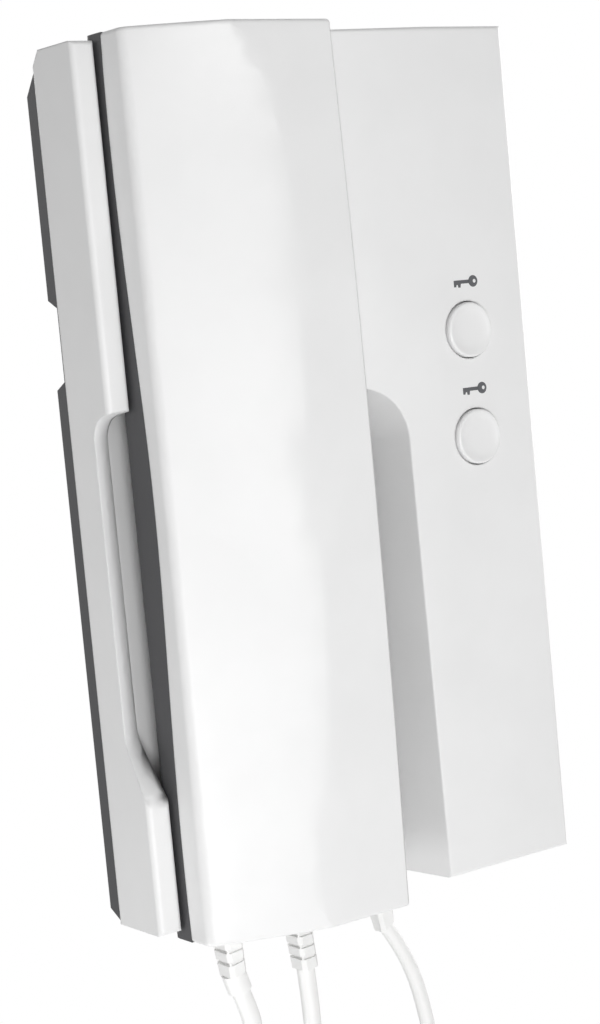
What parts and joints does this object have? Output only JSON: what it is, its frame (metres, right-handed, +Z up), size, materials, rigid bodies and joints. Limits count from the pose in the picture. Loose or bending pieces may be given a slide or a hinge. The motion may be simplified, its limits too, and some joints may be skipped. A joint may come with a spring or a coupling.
{
  "type": "audio intercom handset",
  "caption": "White wall intercom with a handset in a channel, two round door release buttons, a curly handset cord and a line cable.",
  "frame": {"origin": "on the wall, midway between the two wall screws", "axes": "+Z up along the wall unit, +X to the right, -Y out from the wall"},
  "size_m": [0.117, 0.0472, 0.373],
  "materials": {
    "white_plastic": "satin",
    "dark_plastic": "fine texture",
    "cord_plastic": "soft satin",
    "natural_plastic": "satin",
    "black_plastic": "satin",
    "green_plastic": "satin",
    "board_laminate": "solder mask",
    "sleeve_plastic": "glossy",
    "zinc_steel": "zinc plated",
    "spring_steel": "drawn wire",
    "core_iron": "laminated, painted",
    "capsule_aluminium": "satin",
    "black_rubber": "matte"
  },
  "bodies": {
    "wall_unit": {"front_cover": "white_plastic", "rear_cover": "dark_plastic", "hook_spring": "spring_steel", "hook_switch": "black_plastic", "circuit_board": "board_laminate", "board_screws": "zinc_steel", "tact_switches": "black_plastic", "capacitors": "sleeve_plastic", "line_transformer": "core_iron", "terminal_block": "green_plastic", "terminal_screws": "zinc_steel", "chime_speaker": "zinc_steel", "case_screw": "zinc_steel", "base_cord_boot": "cord_plastic", "line_cable_boot": "cord_plastic", "line_cable": "cord_plastic", "line_plug": "natural_plastic", "handset_cord": "cord_plastic"},
    "handset": {"handset_front_shell": "white_plastic", "handset_rear_shell": "dark_plastic", "handset_screws": "zinc_steel", "receiver_gasket": "black_rubber", "receiver_capsule": "zinc_steel", "microphone_grommet": "black_rubber", "microphone": "capsule_aluminium", "handset_cord_boot": "cord_plastic"},
    "upper_button": {"upper_button": "white_plastic", "upper_switch_plunger": "natural_plastic"},
    "lower_button": {"lower_button": "white_plastic", "lower_switch_plunger": "natural_plastic"},
    "hook_lever": {"hook_lever": "natural_plastic"},
    "hook_switch_plunger": {"hook_switch_plunger": "natural_plastic"}
  },
  "joints": [
    {"name": "handset_lift", "type": "slide", "parent": "wall_unit", "child": "handset", "axis": [0, -1, 0], "range_m": [0, 0.045]},
    {"name": "upper_button_press", "type": "slide", "parent": "wall_unit", "child": "upper_button", "axis": [0, 1, 0], "range_m": [0, 0.0008], "stiffness_N_per_m": 900, "springref_m": -0.0005},
    {"name": "lower_button_press", "type": "slide", "parent": "wall_unit", "child": "lower_button", "axis": [0, 1, 0], "range_m": [0, 0.0008], "stiffness_N_per_m": 900, "springref_m": -0.0005},
    {"name": "hook_swing", "type": "hinge", "parent": "wall_unit", "child": "hook_lever", "pos_m": [-0.0245, -0.005, 0.0525], "axis": [1, 0, 0], "range_deg": [0, 6.9]},
    {"name": "hook_switch_release", "type": "slide", "parent": "wall_unit", "child": "hook_switch_plunger", "axis": [0, 0, -1], "range_m": [0, 0.00061]}
  ],
  "couplings": [
    {"joint": "hook_swing", "follows": "handset_lift", "rad_per_m": 2.6},
    {"joint": "hook_switch_release", "follows": "handset_lift", "ratio": 0.0133}
  ]
}
